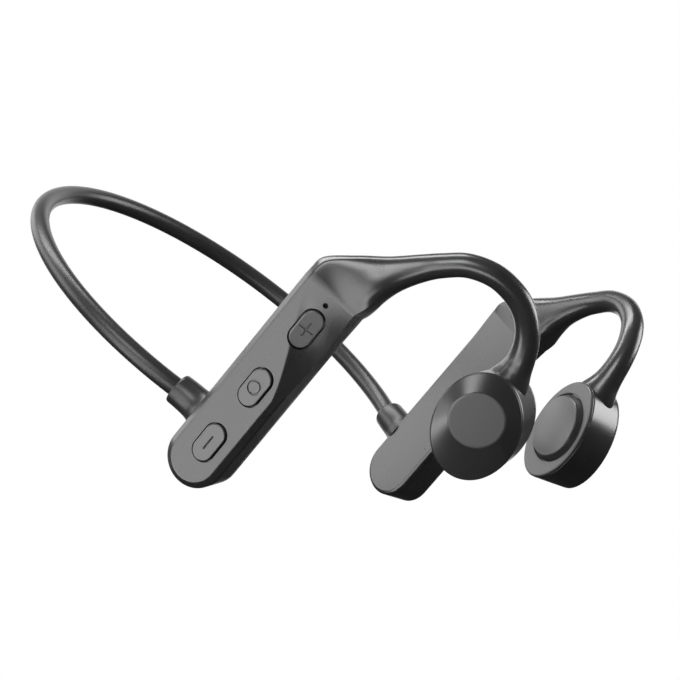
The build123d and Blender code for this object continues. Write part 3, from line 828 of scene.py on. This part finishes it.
def metal(name, colour, roughness, stretch=(1, 1, 1)):
    """Drawn, wound or stamped metal, whose grain can be drawn out in one direction."""
    material, nodes, links = new_material(name)
    nodes["Principled BSDF"].inputs["Metallic"].default_value = 1.0
    place = nodes.new("ShaderNodeTexCoord").outputs["Object"]
    squeeze = nodes.new("ShaderNodeMapping")
    squeeze.inputs["Scale"].default_value = stretch
    links.new(place, squeeze.inputs["Vector"])
    grain = noise(nodes, links, squeeze.outputs["Vector"], METAL_GRAIN, detail=4.0)
    vary_colour(nodes, links, grain, toned(colour, 0.8), colour)
    vary_roughness(nodes, links, grain, roughness - 0.06, roughness + 0.1)
    raise_grain(nodes, links, grain, depth_mm=0.01, strength=0.3)
    return material


def laminate(name):
    """Green solder mask over copper tracks."""
    material, nodes, links = new_material(name)
    shader = nodes["Principled BSDF"]
    shader.inputs["Roughness"].default_value = 0.3
    place = nodes.new("ShaderNodeTexCoord").outputs["Object"]
    tracks = nodes.new("ShaderNodeTexBrick")
    tracks.inputs["Scale"].default_value = 600.0
    tracks.inputs["Color1"].default_value = (0.01, 0.09, 0.04, 1)
    tracks.inputs["Color2"].default_value = (0.015, 0.11, 0.05, 1)
    tracks.inputs["Mortar"].default_value = (0.03, 0.17, 0.07, 1)
    tracks.inputs["Mortar Size"].default_value = 0.04
    links.new(place, tracks.inputs["Vector"])
    links.new(tracks.outputs["Color"], shader.inputs["Base Color"])
    raise_grain(nodes, links, tracks.outputs["Fac"], depth_mm=0.03)
    return material


CHARCOAL = (0.048, 0.048, 0.05)
SHELL = moulded("shell_plastic", CHARCOAL, 0.28)
SLEEVE = moulded("soft_sleeve", (0.04, 0.04, 0.042), 0.36, grain_mm=0.5, grain_depth=0.006, specular=0.55)
PLATE = moulded("faceplate_plastic", (0.075, 0.075, 0.077), 0.36)
CAP = moulded("cap_plastic", CHARCOAL, 0.3)
PAD = moulded("pad_silicone", (0.075, 0.075, 0.077), 0.36, grain_mm=0.3, grain_depth=0.01)
KEY = moulded("button_plastic", (0.08, 0.08, 0.082), 0.3)
RUBBER = moulded("flap_rubber", (0.045, 0.045, 0.047), 0.6, grain_mm=0.3)
JACKET = moulded("cable_jacket", (0.03, 0.03, 0.03), 0.5)
WIRE = metal("spring_wire", (0.6, 0.6, 0.62), 0.3)
YOKE = metal("yoke_steel", (0.55, 0.55, 0.56), 0.35)
SPRING = metal("spring_steel", (0.7, 0.7, 0.7), 0.25, (1, 6, 1))
MAGNET = metal("magnet_nickel", (0.7, 0.68, 0.65), 0.18)
COPPER = metal("coil_copper", (0.8, 0.38, 0.2), 0.3, (1, 1, 8))
SHIELD = metal("shield_metal", (0.72, 0.72, 0.7), 0.3)
COMPONENT = metal("component_metal", (0.6, 0.6, 0.6), 0.35)
FOIL = metal("cell_foil", (0.7, 0.71, 0.73), 0.35, (4, 1, 1))
LAMINATE = laminate("board_laminate")

NODE_MATERIALS = {
    "hook_spring_wire": WIRE,
    "hook_lead": JACKET,
    "transducer_yoke": YOKE,
    "transducer_magnet": MAGNET,
    "transducer_spring": SPRING,
    "voice_coil": COPPER,
    "charge_flap": RUBBER,
    "circuit_board": LAMINATE,
    "battery_board": LAMINATE,
    "button_switches": COMPONENT,
    "microphone": JACKET,
    "bluetooth_module": SHIELD,
    "usb_port": SHIELD,
    "battery": FOIL,
}


def paint_nodes():
    """Give every CAD node that stays its finish."""
    for name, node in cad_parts.items():
        kind = name.replace("right_", "").replace("left_", "")
        if kind in NODE_MATERIALS:
            node.data.materials.clear()
            node.data.materials.append(NODE_MATERIALS[kind])


def finished(piece, material, body, slot, *nodes):
    """Paint a piece, fix it to its body and let it stand in for CAD nodes."""
    piece.data.materials.clear()
    piece.data.materials.append(material)
    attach(piece, body)
    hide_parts(*nodes)
    return piece


def build_side(side):
    body = side + "_arm"
    finished(arm(side), SHELL, body, "shell_plastic", side + "_bar_outer_shell", side + "_ear_hook")
    finished(cover(side), SHELL, body, "shell_plastic", side + "_bar_inner_cover")
    finished(collar(side), SLEEVE, body, "soft_sleeve", side + "_collar")
    finished(pod_cap(side), CAP, body, "shell_plastic", side + "_pod_cap")
    finished(pod_housing(side), SHELL, body, "shell_plastic", side + "_pod_housing")
    finished(pod_faceplate(side), PLATE, body, "faceplate_plastic", side + "_pod_faceplate")
    finished(contact_pad(side), PAD, side + "_pad", "pad_silicone", side + "_contact_pad")


def build_band():
    """Sleeve, wire and cable, each one tube along the band's arc between the two arms."""
    core_extra = SLEEVE_IN_COLLAR - CORE_SHORTER
    sleeve = band_tube("neckband_sleeve", SLEEVE_RADIUS, 0.0, SLEEVE_IN_COLLAR, SLEEVE_POINTS)
    wire = band_tube("neckband_wire", WIRE_RADIUS, CORE_OFFSET, core_extra, CORE_POINTS)
    cable = band_tube("neckband_lead", CABLE_RADIUS, -CORE_OFFSET, core_extra, CORE_POINTS)
    sleeve_nodes = ["neckband_sleeve_right", "neckband_sleeve_centre", "neckband_sleeve_left"]
    for piece, material, slot, nodes in (
        (sleeve, SLEEVE, "soft_sleeve", sleeve_nodes),
        (wire, WIRE, "spring_wire", ["neckband_spring_wire"]),
        (cable, JACKET, "cable_jacket", ["neckband_cable"]),
    ):
        piece.data.materials.append(material)
        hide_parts(*nodes)
        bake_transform(piece)


# Stage, light and camera


def stage(low, high):
    """A pale floor that is seen only from above and turns to plain white far from the set."""
    centre = (low + high) / 2
    reach = FLOOR_REACH * (high - low).length
    signs = ((-1, -1), (1, -1), (1, 1), (-1, 1))
    corners = [(centre.x + sx * reach, centre.y + sy * reach, 0) for sx, sy in signs]
    mesh = bpy.data.meshes.new("floor")
    mesh.from_pydata(corners, [], [(0, 1, 2, 3)])
    floor = bpy.data.objects.new("floor", mesh)
    bpy.context.scene.collection.objects.link(floor)
    floor.visible_diffuse = False
    floor.visible_glossy = False
    material, nodes, links = new_material("floor_paint")
    shader = nodes["Principled BSDF"]
    shader.inputs["Base Color"].default_value = (0.86, 0.86, 0.86, 1)
    shader.inputs["Roughness"].default_value = 0.9
    shader.inputs["Specular IOR Level"].default_value = 0.0
    shader.inputs["Emission Color"].default_value = (1, 1, 1, 1)
    place = nodes.new("ShaderNodeTexCoord")
    distance = nodes.new("ShaderNodeVectorMath")
    distance.operation = "LENGTH"
    fade = nodes.new("ShaderNodeMapRange")
    fade.inputs["From Min"].default_value = FLOOR_FADE[0]
    fade.inputs["From Max"].default_value = FLOOR_FADE[1]
    links.new(place.outputs["Object"], distance.inputs[0])
    links.new(distance.outputs["Value"], fade.inputs["Value"])
    links.new(fade.outputs["Result"], shader.inputs["Emission Strength"])
    clear = nodes.new("ShaderNodeBsdfTransparent")
    side = nodes.new("ShaderNodeNewGeometry")
    mix = nodes.new("ShaderNodeMixShader")
    links.new(side.outputs["Backfacing"], mix.inputs["Fac"])
    links.new(shader.outputs["BSDF"], mix.inputs[1])
    links.new(clear.outputs["BSDF"], mix.inputs[2])
    links.new(mix.outputs["Shader"], nodes["Material Output"].inputs["Surface"])
    mesh.materials.append(material)


def softbox(name, direction, size, radiance, centre):
    """A rectangular light that faces the set."""
    light = bpy.data.lights.new(name, "AREA")
    light.shape = "RECTANGLE"
    light.size, light.size_y = size
    light.energy = radiance * pi * size[0] * size[1]
    box = bpy.data.objects.new(name, light)
    bpy.context.scene.collection.objects.link(box)
    away = Vector(direction).normalized()
    box.location = centre + away * LIGHT_DISTANCE
    box.rotation_euler = (-away).to_track_quat("-Z", "Y").to_euler()
    return box


def lights(low, high):
    """Softboxes round the set, and a world that is white to look at and dim as a light."""
    centre = (low + high) / 2
    boxes = {name: softbox(name, *values, centre) for name, values in LIGHTS.items()}
    boxes["backdrop"].visible_camera = False
    world = bpy.data.worlds.new("studio")
    bpy.context.scene.world = world
    world.use_nodes = True
    nodes, links = world.node_tree.nodes, world.node_tree.links
    seen = nodes["Background"]
    seen.inputs["Color"].default_value = (1, 1, 1, 1)
    seen.inputs["Strength"].default_value = WORLD_SEEN
    soft = nodes.new("ShaderNodeBackground")
    soft.inputs["Color"].default_value = (1, 1, 1, 1)
    soft.inputs["Strength"].default_value = WORLD_LIGHT
    path = nodes.new("ShaderNodeLightPath")
    mix = nodes.new("ShaderNodeMixShader")
    links.new(path.outputs["Is Camera Ray"], mix.inputs["Fac"])
    links.new(soft.outputs["Background"], mix.inputs[1])
    links.new(seen.outputs["Background"], mix.inputs[2])
    links.new(mix.outputs["Shader"], nodes["World Output"].inputs["Surface"])


def add_camera():
    level = cos(CAMERA_RISE)
    forward = Vector((cos(CAMERA_HEADING) * level, sin(CAMERA_HEADING) * level, sin(CAMERA_RISE)))
    right = forward.cross(Vector((0, 0, 1))).normalized()
    right = Matrix.Rotation(CAMERA_ROLL, 3, forward) @ right
    pose = STAND @ plane(CAMERA_AT, right, -forward)
    pose.translation *= METRES
    lens = bpy.data.cameras.new("camera")
    lens.lens = CAMERA_LENS
    lens.clip_start = CAMERA_NEAR
    camera = bpy.data.objects.new("camera", lens)
    camera.matrix_world = pose
    bpy.context.scene.collection.objects.link(camera)
    bpy.context.scene.camera = camera


bpy.context.scene.view_settings.view_transform = "Standard"
add_camera()
corner_low, corner_high = (Vector(c) for c in cad_bounds)
stage(corner_low, corner_high)
lights(corner_low, corner_high)
paint_nodes()
for side_name in ("right", "left"):
    build_side(side_name)
for button_name in BUTTONS:
    node_name = button_name + "_button"
    finished(button(button_name), KEY, node_name, "button_plastic", node_name)
build_band()
